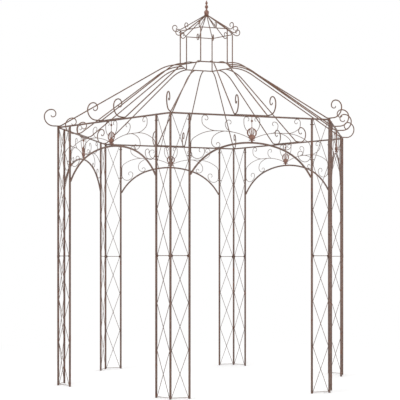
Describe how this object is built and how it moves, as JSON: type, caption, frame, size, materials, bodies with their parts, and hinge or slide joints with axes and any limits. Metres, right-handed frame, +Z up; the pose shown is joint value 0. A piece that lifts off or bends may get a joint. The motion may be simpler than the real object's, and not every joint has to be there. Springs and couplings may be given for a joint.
{
  "type": "iron gazebo",
  "caption": "Hexagonal open garden gazebo of iron tube and scrolled rod, with trellis posts, arched sides and a ribbed roof under a small lantern.",
  "frame": {"origin": "on the ground at the centre of the hexagon", "axes": "+Z up, -Y towards the front post, +X to the right through the middle of a side"},
  "size_m": [2.588, 2.95, 3.4358],
  "materials": {
    "post_paint": "antique rust brown paint, slightly mottled",
    "arch_paint": "antique rust brown paint, slightly mottled",
    "scroll_paint": "antique rust brown paint on thin forged rod",
    "roof_paint": "antique rust brown paint, a little weathered",
    "casting_paint": "redder brown paint on sand-cast iron"
  },
  "bodies": {
    "root": {"post_front_lower": "post_paint", "post_front_upper": "post_paint", "hip_rib_front": "roof_paint", "post_right_front_lower": "post_paint", "post_right_front_upper": "post_paint", "hip_rib_right_front": "roof_paint", "post_right_back_lower": "post_paint", "post_right_back_upper": "post_paint", "hip_rib_right_back": "roof_paint", "post_back_lower": "post_paint", "post_back_upper": "post_paint", "hip_rib_back": "roof_paint", "post_left_back_lower": "post_paint", "post_left_back_upper": "post_paint", "hip_rib_left_back": "roof_paint", "post_left_front_lower": "post_paint", "post_left_front_upper": "post_paint", "hip_rib_left_front": "roof_paint", "arch_front_right": "arch_paint", "scrolls_front_right": "scroll_paint", "roof_ribs_front_right": "roof_paint", "arch_right": "arch_paint", "scrolls_right": "scroll_paint", "roof_ribs_right": "roof_paint", "arch_back_right": "arch_paint", "scrolls_back_right": "scroll_paint", "roof_ribs_back_right": "roof_paint", "arch_back_left": "arch_paint", "scrolls_back_left": "scroll_paint", "roof_ribs_back_left": "roof_paint", "arch_left": "arch_paint", "scrolls_left": "scroll_paint", "roof_ribs_left": "roof_paint", "arch_front_left": "arch_paint", "scrolls_front_left": "scroll_paint", "roof_ribs_front_left": "roof_paint", "eave_rails": "arch_paint", "palmettes": "casting_paint", "crown_ring": "roof_paint", "lantern_posts": "roof_paint", "lantern_ring": "roof_paint", "lantern_ribs": "roof_paint", "finial": "casting_paint"}
  },
  "joints": []
}
